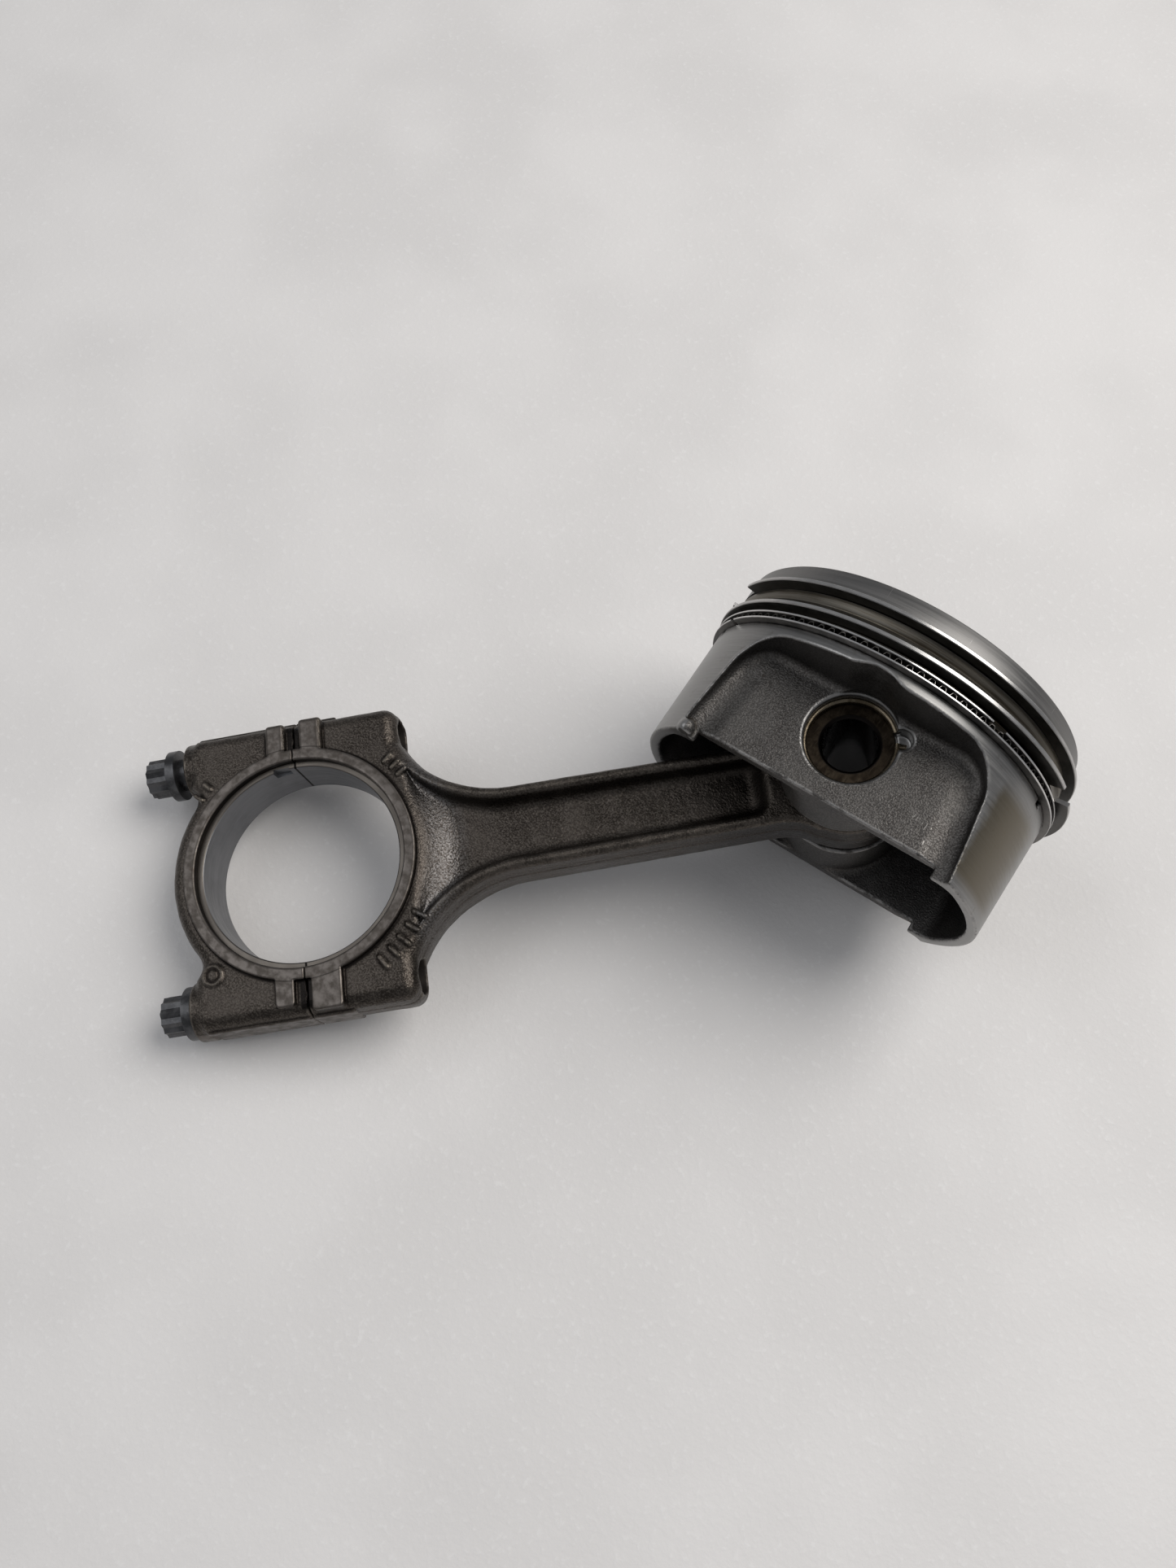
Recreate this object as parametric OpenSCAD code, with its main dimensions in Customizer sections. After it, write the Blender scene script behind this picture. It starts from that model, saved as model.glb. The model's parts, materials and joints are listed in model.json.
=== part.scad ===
// Piston, rings, wrist pin and connecting rod of a four-stroke motorcycle engine.
//
// The origin is the wrist pin's centre, on the mid-plane of the piston.
// +Z runs along the wrist pin, and points up as the assembly lies on its side.
// +Y runs along the piston's axis to its crown, and +X completes the frame.
// The connecting rod is drawn in its own frame, with +X from the crank pin's centre to the wrist pin,
// and is then set at rod_angle from the piston's axis. All sizes are in millimetres.

/* [Piston] */
// Diameter over the skirt, close to the bore of the cylinder
skirt_d = 85.8; // [85.4:0.1:86.2]
// Diameter of the lands between the rings
land_d = 85.3; // [85:0.1:85.4]
// Height of the crown above the wrist pin's centre
crown_h = 28.1; // [27.8:0.1:29]
// Depth of the skirt below the wrist pin's centre
skirt_h = 17.5; // [17.2:0.1:18.5]
// Depth of the side panels below the wrist pin's centre
panel_h = 15.2; // [15:0.1:15.6]
// Distance from the mid-plane to the outside of each side panel
panel_z = 26.9; // [26.7:0.1:27.2]
// Height of the side recess above the wrist pin's centre
recess_h = 9.1; // [8.6:0.1:9.4]
// Wall thickness of the skirt
skirt_wall = 2.7; // [2.4:0.1:2.9]
// Wall thickness of the side panels
panel_wall = 3.4; // [3:0.1:3.5]
// Thickness of the crown
crown_wall = 5.5; // [5:0.1:6]
// Distance from the mid-plane to the inner face of each pin boss
boss_z = 8.6; // [8.3:0.1:9]

/* [Wrist pin] */
// Diameter of the wrist pin
pin_d = 20; // [19.8:0.1:20.2]
// Diameter of the hole through the wrist pin
pin_hole_d = 12.3; // [11:0.1:13]
// Length of the wrist pin
pin_length = 46; // [45.6:0.1:46]
// Wire thickness of the circlips
clip_wire = 1.6; // [1.4:0.1:1.6]

/* [Rings] */
// Axial height of the top compression ring
top_ring_h = 0.9; // [0.8:0.05:1]
// Axial height of the second compression ring
second_ring_h = 1; // [0.9:0.05:1.1]
// Axial height of each oil ring rail
rail_h = 0.45; // [0.4:0.05:0.5]
// Axial height of the oil ring expander
expander_h = 1.15; // [1:0.05:1.2]
// Number of windows around the expander
expander_windows = 54; // [36:2:72]

/* [Connecting rod] */
// Distance from the crank pin's centre to the wrist pin's centre
rod_length = 129; // [128:0.5:132]
// Angle between the rod and the piston's axis
rod_angle = 48; // [-50:1:50]
// Width of the beam beside the big end
beam_wide = 20.6; // [20:0.2:21]
// Width of the beam beside the small end
beam_narrow = 19.4; // [19:0.2:20]
// Thickness of the forging
forging_t = 14.4; // [14:0.2:14.8]
// Thickness of the big end over its machined faces
big_end_t = 17.6; // [17:0.2:18]
// Thickness of the web between the beam's two channels
web_t = 4.4; // [4:0.2:5]
// Outside diameter of the small end
small_end_d = 30.2; // [29.8:0.2:30.6]

/* [Big end] */
// Diameter of the crank pin that runs in the bearing shells
crank_pin_d = 48; // [47.5:0.5:48.5]
// Wall thickness of the bearing shells
shell_t = 1.4; // [1.2:0.1:1.6]
// Width of the bearing shells
shell_w = 13.8; // [13:0.2:14.4]
// Diameter of the raised ring of metal around the bore
annulus_d = 56.5; // [56:0.5:57]
// Distance from the rod's centreline to each bolt
bolt_y = 30.3; // [30:0.1:30.5]
// Shank diameter of the rod bolts
bolt_d = 8; // [7.5:0.5:8]
// Length of each bolt under its head
bolt_length = 50; // [46:1:52]
// How far the front bolt is backed out of its seat
backed_out = 2.8; // [0:0.2:4]

/* [Hidden] */
$fn = 96;
eps = 0.01;
far = 200;                                  // longer than any part, for through cuts

// Clearances
running_gap = 0.04;                         // radial, around the wrist pin
fit_gap = 0.02;                             // between parts that are fixed together
side_gap = 0.05;                            // axial, beside each ring
stack_gap = 0.02;                           // axial, between the oil ring's three pieces

// Heights of the ring grooves' lower faces above the wrist pin's centre
top_groove_y = 21.3;
second_groove_y = 15.2;
oil_groove_y = 11.7;
accumulator_y = 18.9;
expander_y = oil_groove_y + side_gap + rail_h + stack_gap;
upper_rail_y = expander_y + expander_h + stack_gap;
oil_stack_h = upper_rail_y + rail_h - oil_groove_y - side_gap;
top_root_r = 38.6;
second_root_r = 38.6;
oil_root_r = 38.9;

// Piston
skirt_r = skirt_d / 2;
land_r = land_d / 2;
pin_bore_r = pin_d / 2 + running_gap;
recess_corner_r = 8.5;
recess_top_half = 21;                       // half width of the recess's straight top edge
recess_foot_half = 32.6;                    // half width of the recess at the skirt's lower edge
tool_relief_r = 10.5;                       // round relief above the pin bore
trough_r = 3;
trough_rise = 1.6;                          // height of the trough's axis above the panel
boss_r = 15.3;
belt_inner_r = 34.8;
skirt_end_half = 28.8;                      // the panels' shorter edge ends here
valve_pocket_depth = 1.2;

// Circlips
clip_r = 9.95;                              // radius of the wire's centreline
clip_gap = 0.08;
clip_z = pin_length / 2 + clip_gap + clip_wire / 2;
clip_groove_r = clip_r + clip_wire / 2 + clip_gap;
clip_notch_angle = 30;
clip_notch_r = 2.3;
clip_notch_at = 10.6;

// Rod
forged = forging_t / 2;
raised = big_end_t / 2;
housing_r = crank_pin_d / 2 + shell_t + fit_gap;
annulus_r = annulus_d / 2;
boss_half = 36.2;                           // half width over the bolt bosses
strip_half = 36.8;                          // half width over the machined side strips
shoulder_x = 25.5;                          // end of the rod's bolt bosses
neck_x = 52;                                // where the neck's arc meets the beam
neck_r = 29.5;
beam_end_x = 111.5;                         // where the small end's fillet begins
small_fillet_r = 16;
parting = 0.02;                             // half the joint between rod and cap
shell_parting = 0.06;                       // half the gap between the shells' ends
cap_arch_r = 32.2;
cap_boss_x = 27.2;
seat_x = 28.5;                              // bolt seats, from the crank pin's axis
bush_r = 11.5;
flange_t = 2.2;
flange_r = 6.3;
head_h = 5.6;
head_af = 8.4;                              // across the flats of the twelve-point head

// Shapes that repeat

// Turns a profile of [radius, height] points around the piston's axis
module around_piston() {
    rotate([-90, 0, 0]) rotate_extrude() children();
}

// Groove of one radius cut into the piston from outside
module ring_groove(y, height, root) {
    around_piston() translate([root, y]) square([skirt_r + 2 - root, height]);
}

// Sets a child at an angle around the piston's axis, measured from +X towards +Z
module at_piston_angle(angle) {
    rotate([0, -angle, 0]) children();
}

// Split ring: outer radius, radial thickness, height and the two ends of its gap
module split_ring(outer, thickness, y, height, gap_from, gap_to, shift) {
    edge = min(0.15, height / 4);
    inner = outer - thickness;
    translate(shift) at_piston_angle(gap_from) rotate([-90, 0, 0])
        rotate_extrude(angle = 360 - (gap_to - gap_from), $fn = 180)
            polygon([[inner, y], [outer - edge, y], [outer, y + edge], [outer, y + height - edge],
                [outer - edge, y + height], [inner, y + height]]);
}

// Points of an arc, from one angle to another
function arc(centre, radius, from, to, steps = 16) =
    [for (i = [0:steps]) let (a = from + (to - from) * i / steps)
        centre + radius * [cos(a), sin(a)]];

// Mirrors a child about the rod's centreline and keeps the original
module both_sides() {
    children();
    mirror([0, 1, 0]) children();
}

// Places a shape that is drawn in the rod's frame
module in_rod_frame() {
    rotate([0, 0, 90 - rod_angle]) translate([-rod_length, 0, 0]) children();
}

// Solid along the rod's axis from x0 to x1, whose section is a child in the Y, Z plane
module along_rod(x0, x1) {
    translate([x0, 0, 0]) rotate([90, 0, 90]) linear_extrude(x1 - x0) children();
}

// Cylinder along the rod's axis from x0 to x1
module rod_cylinder(x0, x1, r, y = 0) {
    translate([x0, y, 0]) rotate([0, 90, 0]) cylinder(h = x1 - x0, r = r);
}

// Piston

// Outline of the recess in the piston's side, open at the bottom
module recess_outline() {
    side = [recess_foot_half, -skirt_h - 20];
    corner = [recess_top_half, recess_h - recess_corner_r];
    half = concat([side, [recess_foot_half, -skirt_h]],
        arc(corner, recess_corner_r, 8, 90));
    polygon(concat(half, [for (i = [len(half) - 1:-1:0]) [-half[i][0], half[i][1]]]));
    circle(r = tool_relief_r);
}

// Round-bottomed trough along each side wall of the recess
module recess_trough() {
    top = [recess_top_half + recess_corner_r - trough_r, recess_h - recess_corner_r];
    foot = [recess_foot_half - trough_r, -skirt_h];
    run = top - foot;
    lean = atan2(run[0], run[1]);
    translate([foot[0], foot[1], panel_z + trough_rise]) rotate([-90, 0, -lean])
        translate([0, 0, -10]) cylinder(h = norm(run) + 10, r = trough_r);
    translate([top[0], top[1], panel_z + trough_rise]) sphere(r = trough_r);
}

module side_recess() {
    translate([0, 0, panel_z]) linear_extrude(far) recess_outline();
    recess_trough();
    mirror([1, 0, 0]) recess_trough();
}

module piston_cavity() {
    inner_z = panel_z - panel_wall;
    inner_r = skirt_r - skirt_wall;
    difference() {
        intersection() {
            around_piston() polygon([[0, -skirt_h - 1], [inner_r, -skirt_h - 1], [inner_r, 2],
                [belt_inner_r, recess_h], [belt_inner_r, crown_h - crown_wall - 3],
                [belt_inner_r - 3, crown_h - crown_wall], [0, crown_h - crown_wall]]);
            cube([2 * skirt_r, far, 2 * inner_z], center = true);
        }
        for (side = [-1, 1]) {
            mirror([0, 0, side < 0 ? 1 : 0]) {
                translate([0, 0, boss_z]) cylinder(h = inner_z, r = boss_r);
                translate([-10, 0, boss_z + 3]) cube([20, crown_h, inner_z]);
            }
        }
    }
}

// Bore for the wrist pin with the groove, the notch and the chamfer for one circlip
module clip_seat() {
    groove_w = clip_wire + 2 * clip_gap;
    translate([0, 0, clip_z - groove_w / 2]) cylinder(h = groove_w, r = clip_groove_r);
    translate([0, 0, panel_z - 0.4]) cylinder(h = 0.4 + eps, r1 = pin_bore_r, r2 = pin_bore_r + 0.4);
    rotate([0, 0, clip_notch_angle]) translate([clip_notch_at, 0, clip_z - groove_w / 2 - 0.3])
        cylinder(h = far, r = clip_notch_r, $fn = 48);
}

module valve_pockets() {
    for (sx = [-1, 1], sz = [-1, 1]) {
        translate([18 * sx, crown_h - valve_pocket_depth, 16.5 * sz])
            rotate([-90, 0, 0]) cylinder(h = 10, r = sx > 0 ? 14.5 : 13);
    }
}

// Turned outside of the piston with its ring grooves
module piston_blank() {
    edge = 0.4;
    difference() {
        around_piston() polygon([[0, -skirt_h], [skirt_r - edge, -skirt_h], [skirt_r, -skirt_h + edge],
            [skirt_r, oil_groove_y], [land_r, oil_groove_y], [land_r, crown_h - edge],
            [land_r - edge, crown_h], [0, crown_h]]);
        ring_groove(top_groove_y, top_ring_h + 2 * side_gap, top_root_r);
        ring_groove(second_groove_y, second_ring_h + 2 * side_gap, second_root_r);
        ring_groove(oil_groove_y, oil_stack_h + 2 * side_gap, oil_root_r);
        around_piston() polygon([[land_r - 0.5, accumulator_y], [land_r + 1, accumulator_y - 0.45],
            [land_r + 1, accumulator_y + 0.45]]);
    }
}

module piston() {
    color("darkgray") difference() {
        piston_blank();
        piston_cavity();
        side_recess();
        mirror([0, 0, 1]) side_recess();
        translate([-skirt_end_half, -skirt_h - 10, -far / 2])
            cube([2 * skirt_end_half, skirt_h + 10 - panel_h, far]);
        cylinder(h = far, r = pin_bore_r, center = true);
        clip_seat();
        mirror([0, 0, 1]) clip_seat();
        valve_pockets();
        // Oil drain slots through the lower face of the oil ring's groove
        for (angle = [23, 157, 203, 337]) {
            at_piston_angle(angle) translate([oil_root_r, oil_groove_y - 1.3, -1.1])
                cube([10, 1.4, 2.2]);
        }
        // Oil drain holes in the root of the oil ring's groove
        for (angle = [60:20:120], side = [-1, 1]) {
            at_piston_angle(side * angle) translate([belt_inner_r - 2, oil_groove_y + oil_stack_h / 2, 0])
                rotate([0, 90, 0]) cylinder(h = 10, r = 0.8, $fn = 24);
        }
    }
}

// Rings, drawn loose in their grooves as they sit on a piston that is out of its cylinder

top_shift = [0.3, 0, 1.9];
second_shift = [1.2, 0, 1.6];
oil_shift = [0.3, 0, 1.2];

module top_compression_ring() {
    color("dimgray") split_ring(44.6, 3.2, top_groove_y + side_gap, top_ring_h, 153, 171, top_shift);
}

module second_compression_ring() {
    color("dimgray") split_ring(45.3, 3.4, second_groove_y + side_gap, second_ring_h, 14, 24, second_shift);
}

module oil_ring_lower_rail() {
    color("silver") split_ring(44.1, 2.6, oil_groove_y + side_gap, rail_h, 148, 150, oil_shift);
}

module oil_ring_expander() {
    y = expander_y;
    window_h = expander_h * 0.55;
    pitch = 358 / expander_windows;
    color("gray") difference() {
        split_ring(43.4, 1.8, y, expander_h, 269, 271, oil_shift);
        translate(oil_shift) for (i = [1:expander_windows - 1]) {
            at_piston_angle(271 + i * pitch)
                translate([40, i % 2 == 0 ? y - eps : y + expander_h - window_h + eps, -1.2])
                    cube([5, window_h, 2.4]);
        }
    }
}

module oil_ring_upper_rail() {
    color("silver") split_ring(44.1, 2.6, upper_rail_y, rail_h, 52.5, 57.5, oil_shift);
}

// Wrist pin and circlips

module wrist_pin() {
    bevel = 0.6;
    color("saddlebrown") difference() {
        rotate_extrude() polygon([[0, -pin_length / 2], [pin_d / 2 - bevel, -pin_length / 2],
            [pin_d / 2, -pin_length / 2 + bevel], [pin_d / 2, pin_length / 2 - bevel],
            [pin_d / 2 - bevel, pin_length / 2], [0, pin_length / 2]]);
        cylinder(h = far, r = pin_hole_d / 2, center = true);
        for (side = [0, 1]) {
            mirror([0, 0, side]) translate([0, 0, pin_length / 2 - bevel])
                cylinder(h = bevel + eps, r1 = pin_hole_d / 2, r2 = pin_hole_d / 2 + bevel);
        }
    }
}

// Wire ring with one end bent outward into the notch in the pin bore
module circlip() {
    start = clip_notch_angle + 14;
    sweep = 345;
    tail_angle = clip_notch_angle - 5;
    tail_length = 1.8;
    color("silver") translate([0, 0, clip_z]) {
        rotate([0, 0, start]) rotate_extrude(angle = sweep)
            translate([clip_r, 0]) circle(d = clip_wire, $fn = 24);
        rotate([0, 0, tail_angle]) translate([clip_r, 0, 0]) rotate([0, 90, 0])
            cylinder(h = tail_length, d = clip_wire - 0.1, $fn = 24);
    }
}

module circlip_front() {
    circlip();
}

module circlip_rear() {
    mirror([0, 0, 1]) circlip();
}

// Connecting rod, in the rod's frame

// Outline of the rod's forging on one side of its centreline
module rod_half_outline() {
    neck = [neck_x, beam_wide / 2 + neck_r];
    neck_start = 180 + acos((neck_x - shoulder_x) / neck_r);
    fillet = [beam_end_x, beam_narrow / 2 + small_fillet_r];
    to_pin = [rod_length, 0] - fillet;
    tangent = 360 + atan2(to_pin[1], to_pin[0]);
    polygon(concat(
        [[parting, 0], [parting, boss_half]],
        arc([shoulder_x - 3.5, boss_half - 3.5], 3.5, 90, 0, 8),
        arc(neck, neck_r, neck_start, 270),
        arc(fillet, small_fillet_r, 270, tangent),
        [[rod_length, 0]]));
}

// Section of the forging across the rod: its side edges are bevelled
module forging_section() {
    bevel = 2.4;
    polygon([[-boss_half, -forged + bevel], [-boss_half + bevel, -forged],
        [boss_half - bevel, -forged], [boss_half, -forged + bevel], [boss_half, forged - bevel],
        [boss_half - bevel, forged], [-boss_half + bevel, forged], [-boss_half, forged - bevel]]);
}

// One channel of the I-beam, as a cutter above the web; its floor ramps up beside the big end
module beam_channel() {
    flange = 2.8;
    depth_top = forged + 1;
    start_x = 30.5;
    floor_x = 39;
    end_x = 110.6;
    half_end = beam_narrow / 2 - flange;
    neck = [neck_x, beam_wide / 2 + neck_r];
    corner_r = 4;
    intersection() {
        translate([0, 0, -eps]) linear_extrude(far) both_sides() polygon(concat(
            [[start_x, 0]],
            arc(neck, neck_r + flange, 180 + acos((neck_x - start_x) / (neck_r + flange)), 270),
            arc([end_x - corner_r, half_end - corner_r], corner_r, 90, 0, 8),
            [[end_x, 0]]));
        translate([0, far / 2, 0]) rotate([90, 0, 0]) linear_extrude(far)
            polygon([[start_x, forged + eps], [floor_x, web_t / 2], [end_x - 3, web_t / 2],
                [end_x, web_t / 2 + 3], [end_x, depth_top], [start_x, depth_top]]);
    }
}

// Machined pads beside the joint; x0 and x1 are their ends along the rod
module joint_pad(x0, x1, y1) {
    translate([x0, annulus_r - 2, -raised]) cube([x1 - x0, y1 - annulus_r + 2, 2 * raised]);
}

// Machined strip along the outside of a bolt boss
module side_strip(x0, x1) {
    translate([x0, boss_half - 3, -4.5]) cube([x1 - x0, strip_half - boss_half + 3, 9]);
}

// Small raised bars around the big end that stand for the forging's marks
module forging_bars(radius, angles) {
    for (a = angles) {
        rotate([0, 0, a]) translate([radius, 0, forged - 1]) cylinder(h = 1.35, r = 0.9, $fn = 24);
    }
}

module big_end_bore() {
    bevel = 0.7;
    cylinder(h = far, r = housing_r, center = true);
    for (side = [0, 1]) {
        mirror([0, 0, side]) translate([0, 0, raised - bevel])
            cylinder(h = bevel + eps, r1 = housing_r, r2 = housing_r + bevel);
    }
}

// Everything on the rod's side of the joint
module rod_side_only() {
    intersection() {
        children();
        translate([parting, -far / 2, -far / 2]) cube(far);
    }
}

module connecting_rod() {
    bolt_hole_r = bolt_d / 2 + running_gap;
    color("#4a4238") in_rod_frame() difference() {
        union() {
            intersection() {
                linear_extrude(forging_t, center = true) union() {
                    both_sides() rod_half_outline();
                    translate([rod_length, 0]) circle(d = small_end_d);
                }
                along_rod(0, far) forging_section();
            }
            rod_side_only() union() {
                cylinder(h = big_end_t, r = annulus_r, center = true);
                joint_pad(1.6, 7.3, 35.8);
                mirror([0, 1, 0]) joint_pad(1.6, 8.7, 35.8);
                both_sides() side_strip(0, 10);
            }
            forging_bars(33, [-56:6:-26]);
            forging_bars(31.8, [36, 40, 44]);
        }
        beam_channel();
        mirror([0, 0, 1]) beam_channel();
        big_end_bore();
        for (side = [-1, 1]) {
            rod_cylinder(-1, 60, bolt_hole_r, side * bolt_y);
        }
        translate([rod_length, 0, 0]) cylinder(h = far, r = bush_r, center = true);
    }
}

module small_end_bush() {
    color("tan") difference() {
        cylinder(h = forging_t, r = bush_r - fit_gap, center = true);
        cylinder(h = far, r = pin_d / 2 + running_gap, center = true);
    }
}

module rod_cap() {
    bolt_hole_r = bolt_d / 2 + running_gap;
    color("#4a4238") in_rod_frame() difference() {
        union() {
            intersection() {
                union() {
                    cylinder(h = forging_t, r = cap_arch_r, center = true);
                    both_sides() linear_extrude(forging_t, center = true)
                        polygon([[0, 20], [-cap_boss_x + 4, 20], [-cap_boss_x, 24],
                            [-cap_boss_x, boss_half - 2], [-cap_boss_x + 2, boss_half], [0, boss_half]]);
                }
                along_rod(-far, 0) forging_section();
            }
            cylinder(h = big_end_t, r = annulus_r, center = true);
            both_sides() {
                joint_pad(-6.8, -1.8, 34.4);
                side_strip(-25, 0);
                rod_cylinder(-seat_x, -cap_boss_x + 3, 7, bolt_y);
            }
            rotate([0, 0, 227]) translate([32.5, 0, forged - 1]) cylinder(h = 1.4, r = 2.6);
            forging_bars(31.8, [134, 140]);
        }
        translate([-parting, -far / 2, -far / 2]) cube(far);
        big_end_bore();
        for (side = [-1, 1]) {
            rod_cylinder(-far, 1, bolt_hole_r, side * bolt_y);
        }
    }
}

// Half shell of the crank pin's bearing on the +X side of the joint
module bearing_shell() {
    edge = 0.3;
    inner = crank_pin_d / 2;
    outer = inner + shell_t;
    rotate([0, 0, -90]) rotate_extrude(angle = 180) polygon([[inner + edge, -shell_w / 2],
        [outer, -shell_w / 2], [outer, shell_w / 2], [inner + edge, shell_w / 2],
        [inner, shell_w / 2 - edge], [inner, -shell_w / 2 + edge]]);
}

module upper_bearing_shell() {
    color("slategray") in_rod_frame() intersection() {
        bearing_shell();
        translate([shell_parting, -far / 2, -far / 2]) cube(far);
    }
}

module lower_bearing_shell() {
    color("slategray") in_rod_frame() difference() {
        mirror([1, 0, 0]) bearing_shell();
        translate([-shell_parting, -far / 2, -far / 2]) cube(far);
        // Relief beside the locating tang
        translate([-5.5, crank_pin_d / 2 - 1, shell_w / 2 - 3]) cube([4, 1.5, 3 + eps]);
    }
}

// Flanged twelve-point bolt whose flange sits lift away from its seat
module rod_bolt(side, lift) {
    in_rod_frame() translate([-lift, side * bolt_y, 0]) {
        difference() {
            union() {
                rod_cylinder(-seat_x - flange_t - head_h, -seat_x - flange_t + eps, head_af * 0.45);
                for (turn = [0, 30]) {
                    translate([-seat_x - flange_t - head_h, 0, 0]) rotate([0, 90, 0]) rotate([0, 0, turn])
                        cylinder(h = head_h + eps, d = head_af / cos(30), $fn = 6);
                }
                rod_cylinder(-seat_x - flange_t, -seat_x, flange_r);
                rod_cylinder(-seat_x - eps, -seat_x + bolt_length, bolt_d / 2);
            }
            translate([-seat_x - flange_t - head_h - eps, 0, 0]) rotate([0, 90, 0])
                cylinder(h = 1.2, r1 = 2.6, r2 = 1.4);
        }
    }
}

module rod_bolt_backed_out() {
    color("#202224") rod_bolt(1, backed_out);
}

module rod_bolt_seated() {
    color("#202224") rod_bolt(-1, 0);
}

piston();
top_compression_ring();
second_compression_ring();
oil_ring_upper_rail();
oil_ring_expander();
oil_ring_lower_rail();
wrist_pin();
circlip_front();
circlip_rear();
connecting_rod();
small_end_bush();
rod_cap();
upper_bearing_shell();
lower_bearing_shell();
rod_bolt_backed_out();
rod_bolt_seated();
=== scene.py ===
"""Looks of a used piston on its connecting rod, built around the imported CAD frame.

The forged and cast pieces are distance fields, meshed here: that gives them the blended fillets,
worn edges and uneven skin of a real forging. The turned pieces keep the CAD meshes.
Lengths in this file are millimetres until a mesh is written, and Blender's metres after that.
"""
import json
import math

import bmesh
import bpy
import numpy as np
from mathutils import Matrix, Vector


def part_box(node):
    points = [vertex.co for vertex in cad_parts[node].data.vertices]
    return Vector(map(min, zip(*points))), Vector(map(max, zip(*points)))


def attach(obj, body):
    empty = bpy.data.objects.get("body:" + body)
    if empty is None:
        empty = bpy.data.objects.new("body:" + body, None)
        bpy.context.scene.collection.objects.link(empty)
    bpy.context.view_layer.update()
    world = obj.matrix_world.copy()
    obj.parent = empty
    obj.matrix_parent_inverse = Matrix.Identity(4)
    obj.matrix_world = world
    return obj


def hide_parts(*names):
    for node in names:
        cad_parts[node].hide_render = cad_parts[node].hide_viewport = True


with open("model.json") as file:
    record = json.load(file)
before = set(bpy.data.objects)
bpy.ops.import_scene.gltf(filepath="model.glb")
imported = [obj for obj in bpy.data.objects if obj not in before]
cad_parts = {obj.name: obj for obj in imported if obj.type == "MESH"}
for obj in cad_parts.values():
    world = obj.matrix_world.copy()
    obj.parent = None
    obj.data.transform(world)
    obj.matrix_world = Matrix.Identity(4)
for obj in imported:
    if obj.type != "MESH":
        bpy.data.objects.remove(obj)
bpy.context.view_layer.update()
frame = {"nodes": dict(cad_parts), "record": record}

import openvdb
from mathutils import Matrix, Vector

MM = 0.001
VOXEL = 0.3
MOUNTS = {m["name"]: m for m in frame["record"]["mounts"]}

# ---------------------------------------------------------------- driving sizes, in millimetres

CRANK = np.array(MOUNTS["crank_pin_bore"]["pos_m"][:2]) / MM
ROD_LENGTH = float(np.hypot(*CRANK))
ROD_X = -CRANK / ROD_LENGTH                       # the rod's own X axis, from crank pin to wrist pin
ROD_Y = np.array([-ROD_X[1], ROD_X[0]])

FORGED = 7.2                                      # half thickness of the forging
RAISED = 8.8                                      # half thickness over the machined faces
HOUSING_R = MOUNTS["crank_pin_bore"]["dims"]["r_mm"] + 1.42
ANNULUS_R = 28.25
BOSS_HALF = 36.2
STRIP_HALF = 36.8
SHOULDER_X = 25.5
NECK = (52.0, 39.8)
NECK_R = 29.5
FILLET = (111.5, 25.7)
FILLET_R = 16.0
SMALL_END_R = 15.1
BUSH_R = 11.5
BOLT_Y = 30.3
BOLT_HOLE_R = 4.04
SEAT_X = 28.5
CAP_ARCH_R = 32.2
CAP_BOSS_X = 27.2
WEB = 2.2                                         # half thickness of the beam's web
FLANGE = 2.8
JOINT_GAP = 0.09                                  # half the gap between rod and cap

SKIRT_R = MOUNTS["top_land"]["dims"]["r_mm"] + 0.25
SKIRT_H = 17.5
PANEL_H = 15.2
PANEL_Z = 26.9
PANEL_INNER_Z = 23.5
SKIRT_INNER_R = SKIRT_R - 2.7
BELT_INNER_R = 34.8
RECESS_TOP = 9.1
RECESS_TOP_HALF = 21.0
RECESS_FOOT_HALF = 32.6
RECESS_CORNER_R = 8.5
BOSS_R = 15.3
PIN_BORE_R = 10.04
OIL_GROOVE_Y = 11.7
OIL_ROOT_R = 38.9
SPLIT_Y = 12.6                                    # the piston's two meshes meet inside the oil groove
CLIP_GROOVE_R = 10.83
CLIP_GROOVE_Z = 23.88
CLIP_GROOVE_HALF = 0.88
NOTCH = (10.6 * math.cos(math.radians(30)), 5.3)  # where the circlip is prised out
NOTCH_R = 2.3
DRAIN_ANGLES = (23, 157, 203, 337)                # slots from the oil groove, from the +X side


# ---------------------------------------------------------------- distance fields

def smooth_min(a, b, k):
    """Union of two fields, with a fillet of about k in the corner between them."""
    h = np.clip(0.5 + 0.5 * (b - a) / k, 0, 1)
    return b + (a - b) * h - k * h * (1 - h)


def smooth_max(a, b, k):
    """Intersection of two fields, with a rounded edge of about k."""
    return -smooth_min(-a, -b, k)


def smooth_step(x, low, high):
    t = np.clip((x - low) / (high - low), 0, 1)
    return t * t * (3 - 2 * t)


def rounded(a, b, radius):
    """Intersection of two fields whose edge has a true radius."""
    u, v = a + radius, b + radius
    return np.minimum(np.maximum(u, v), 0) + np.hypot(np.maximum(u, 0), np.maximum(v, 0)) - radius


def rectangle(u, v, centre, half, radius=0.0):
    a = np.abs(u - centre[0]) - half[0]
    b = np.abs(v - centre[1]) - half[1]
    return rounded(a, b, radius)


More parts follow.
